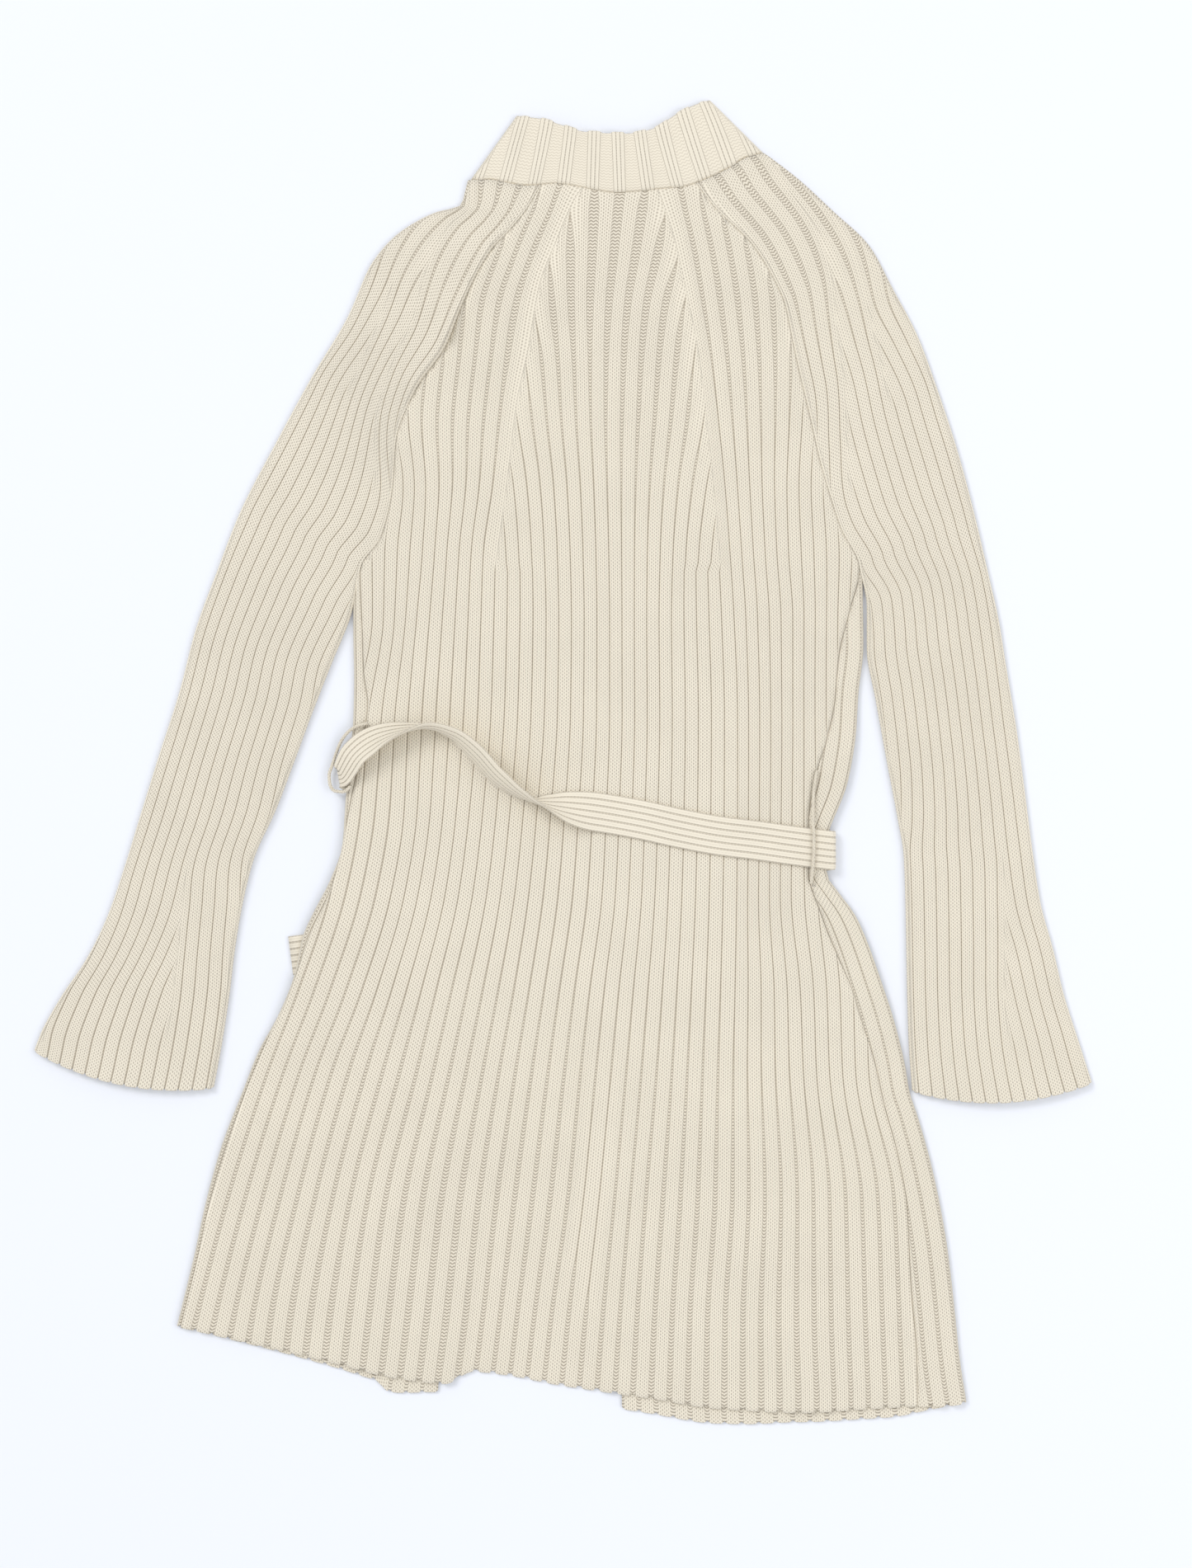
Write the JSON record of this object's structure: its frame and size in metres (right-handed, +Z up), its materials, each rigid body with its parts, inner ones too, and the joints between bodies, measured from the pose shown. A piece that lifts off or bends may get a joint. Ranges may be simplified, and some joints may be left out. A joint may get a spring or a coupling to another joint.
{
  "type": "wrap cardigan",
  "caption": "Long wrap cardigan in chunky rib knit, laid flat with its back up: raglan sleeves with flared cuffs, stand collar, flared skirt and tie belt through thin side loops",
  "frame": {"origin": "on the surface it lies on, under the middle of its outline", "axes": "+X to the wearer's right, which is the right of the picture; +Y from hem to collar; +Z up, out of the back"},
  "size_m": [0.8982, 1.1238, 0.0341],
  "materials": {
    "rib_knit": "soft matt cream yarn in a raised rib",
    "belt_knit": "soft matt cream yarn in a narrow rib",
    "crochet_strand": "matt cream yarn in a crocheted chain"
  },
  "bodies": {
    "root": {"back": "rib_knit", "left_front": "rib_knit", "right_front": "rib_knit", "left_sleeve": "rib_knit", "right_sleeve": "rib_knit", "collar": "rib_knit", "belt": "belt_knit", "belt_loop_left": "crochet_strand", "belt_loop_right": "crochet_strand"}
  },
  "joints": []
}
